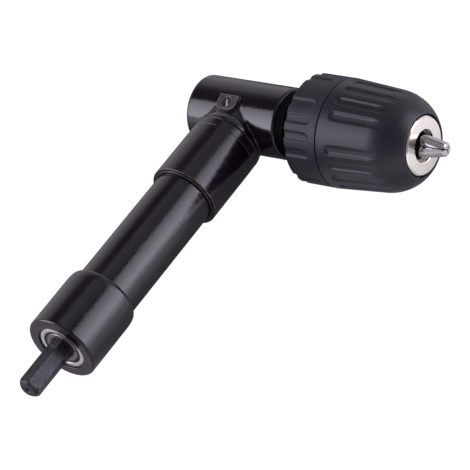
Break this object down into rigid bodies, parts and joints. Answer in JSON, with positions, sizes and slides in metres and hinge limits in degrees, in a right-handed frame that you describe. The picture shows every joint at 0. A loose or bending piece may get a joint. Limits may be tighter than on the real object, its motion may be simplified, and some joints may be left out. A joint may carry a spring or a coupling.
{
  "type": "right angle drill attachment",
  "caption": "Handle tube with a hex drive shank at one end and, at the other, a bevel gear head that drives a keyless three-jaw chuck at a right angle.",
  "frame": {"origin": "centre of the collar's end face, where the hex shank leaves it, on the shank's axis", "axes": "-Y along the shank away from the tool, +X along the chuck towards its jaws, +Z out of the side with the grease plug"},
  "size_m": [0.1123, 0.17, 0.042],
  "materials": {
    "black_paint": "gloss",
    "sleeve_plastic": "matte",
    "bright_nickel": "polished",
    "bright_steel": "ground",
    "shank_steel": "blackened",
    "seal_rubber": "matte",
    "cage_brass": "satin"
  },
  "bodies": {
    "housing": {"head_casting": "black_paint", "rear_cap": "black_paint", "grease_plug": "bright_steel", "front_ring": "black_paint", "oil_seal": "seal_rubber", "lock_ring": "black_paint", "neck_sleeve": "black_paint", "handle_tube": "black_paint", "end_collar": "black_paint", "end_bearing_outer": "bright_steel", "end_bearing_seal": "seal_rubber", "pinion_bearing_outer": "bright_steel", "front_bearing_outer": "bright_steel", "rear_bearing_outer": "bright_steel"},
    "input": {"input_shaft": "shank_steel", "shaft_circlip": "bright_steel", "bevel_pinion": "bright_steel", "pinion_pin": "bright_steel", "end_bearing_inner": "bright_steel", "pinion_bearing_inner": "bright_steel"},
    "output": {"output_spindle": "bright_steel", "bevel_gear": "bright_steel", "gear_pin": "bright_steel", "front_bearing_inner": "bright_steel", "rear_bearing_inner": "bright_steel", "chuck_body": "bright_steel", "chuck_rear_sleeve": "sleeve_plastic", "chuck_lock_screw": "shank_steel", "nose_ring": "bright_nickel", "thrust_washer": "bright_steel"},
    "grip": {"chuck_front_sleeve": "sleeve_plastic", "split_nut_near_half": "shank_steel", "split_nut_far_half": "shank_steel", "nut_band": "shank_steel"},
    "jaw_a": {"jaw_1": "bright_nickel"},
    "jaw_b": {"jaw_2": "bright_nickel"},
    "jaw_c": {"jaw_3": "bright_nickel"},
    "end_rollers": {"end_bearing_balls": "bright_steel", "end_bearing_cage": "cage_brass"},
    "pinion_rollers": {"pinion_bearing_balls": "bright_steel", "pinion_bearing_cage": "cage_brass"},
    "front_rollers": {"front_bearing_balls": "bright_steel", "front_bearing_cage": "cage_brass"},
    "rear_rollers": {"rear_bearing_balls": "bright_steel", "rear_bearing_cage": "cage_brass"},
    "thrust_rollers": {"thrust_balls": "bright_steel", "thrust_cage": "cage_brass"}
  },
  "joints": [
    {"name": "output_spin", "type": "hinge", "parent": "housing", "child": "output", "pos_m": [0, 0.128, 0], "axis": [1, 0, 0], "continuous": true},
    {"name": "input_spin", "type": "hinge", "parent": "housing", "child": "input", "pos_m": [0, 0, 0], "axis": [0, 1, 0], "continuous": true},
    {"name": "front_cage_spin", "type": "hinge", "parent": "housing", "child": "front_rollers", "pos_m": [0, 0.128, 0], "axis": [1, 0, 0], "continuous": true},
    {"name": "rear_cage_spin", "type": "hinge", "parent": "housing", "child": "rear_rollers", "pos_m": [0, 0.128, 0], "axis": [1, 0, 0], "continuous": true},
    {"name": "end_cage_spin", "type": "hinge", "parent": "housing", "child": "end_rollers", "pos_m": [0, 0, 0], "axis": [0, 1, 0], "continuous": true},
    {"name": "pinion_cage_spin", "type": "hinge", "parent": "housing", "child": "pinion_rollers", "pos_m": [0, 0.128, 0], "axis": [0, 1, 0], "continuous": true},
    {"name": "grip_turn", "type": "hinge", "parent": "output", "child": "grip", "pos_m": [0, 0.128, 0], "axis": [1, 0, 0], "range_deg": [0, 2590]},
    {"name": "thrust_cage_turn", "type": "hinge", "parent": "output", "child": "thrust_rollers", "pos_m": [0, 0.128, 0], "axis": [1, 0, 0], "range_deg": [0, 1300]},
    {"name": "jaw_a_slide", "type": "slide", "parent": "output", "child": "jaw_a", "axis": [-0.9744, 0.0506, 0.2192], "range_m": [0, 0.0222]},
    {"name": "jaw_b_slide", "type": "slide", "parent": "output", "child": "jaw_b", "axis": [-0.9744, 0.1645, -0.1534], "range_m": [0, 0.0222]},
    {"name": "jaw_c_slide", "type": "slide", "parent": "output", "child": "jaw_c", "axis": [-0.9744, -0.2151, -0.0658], "range_m": [0, 0.0222]}
  ],
  "couplings": [
    {"joint": "input_spin", "follows": "output_spin", "ratio": 1},
    {"joint": "front_cage_spin", "follows": "output_spin", "ratio": 0.40063},
    {"joint": "rear_cage_spin", "follows": "output_spin", "ratio": 0.40237},
    {"joint": "end_cage_spin", "follows": "output_spin", "ratio": 0.41776},
    {"joint": "pinion_cage_spin", "follows": "output_spin", "ratio": 0.39204},
    {"joint": "thrust_cage_turn", "follows": "grip_turn", "ratio": 0.5},
    {"joint": "jaw_a_slide", "follows": "grip_turn", "m_per_rad": 0.00049002},
    {"joint": "jaw_b_slide", "follows": "grip_turn", "m_per_rad": 0.00049002},
    {"joint": "jaw_c_slide", "follows": "grip_turn", "m_per_rad": 0.00049002}
  ]
}
